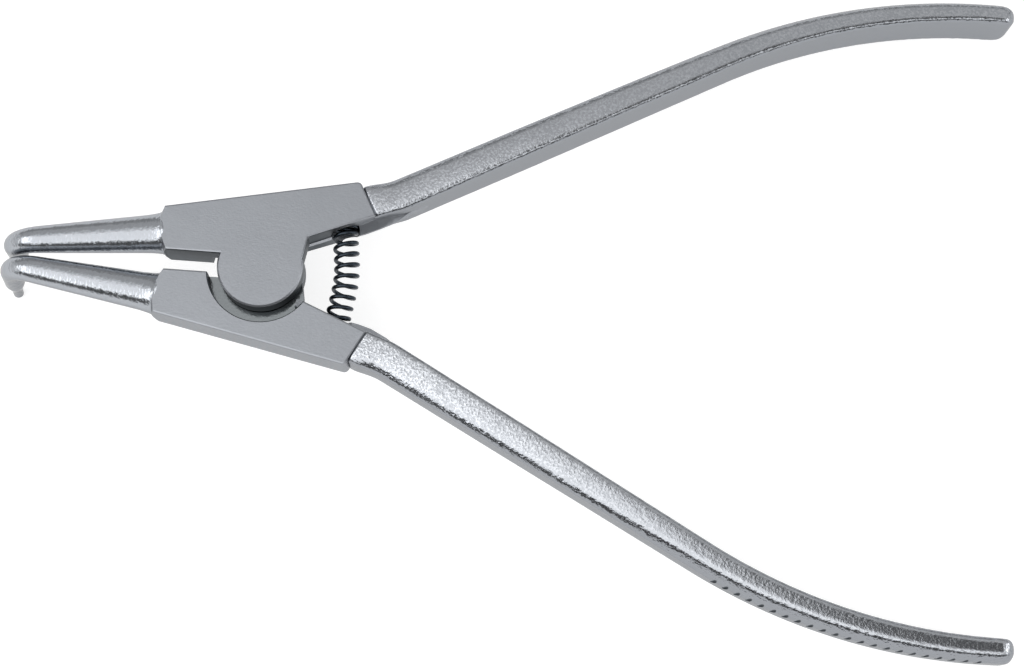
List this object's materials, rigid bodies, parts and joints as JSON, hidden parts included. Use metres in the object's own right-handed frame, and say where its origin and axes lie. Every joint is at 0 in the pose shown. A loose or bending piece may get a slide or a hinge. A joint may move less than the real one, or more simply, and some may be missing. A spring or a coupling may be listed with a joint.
{
  "type": "circlip pliers",
  "caption": "Circlip pliers for external rings: lapped and riveted forged levers, jaws bent down to round tips, curved handles and a coil return spring between them.",
  "frame": {"origin": "on the pivot axis, at the back face of the lapped head", "axes": "+X from the pivot towards the handles, with the jaws on -X; +Z out of the head's front face; the bent tips point towards -Z"},
  "size_m": [0.1718, 0.1136, 0.0209],
  "materials": {
    "plated_steel": "satin plating over forged steel, ground flat on the head",
    "rivet_steel": "ground flush",
    "spring_wire": "blued drawn wire"
  },
  "bodies": {
    "lower": {"lower_lever": "plated_steel", "return_spring": "spring_wire"},
    "upper": {"upper_lever": "plated_steel", "pivot_rivet": "rivet_steel"}
  },
  "joints": [
    {"name": "lever_pivot", "type": "hinge", "parent": "lower", "child": "upper", "pos_m": [0, 0, 0], "axis": [0, 0, -1], "range_deg": [0, 30], "stiffness_Nm_per_rad": 0.9, "springref_deg": -8.59, "deforming": ["return_spring"]}
  ]
}
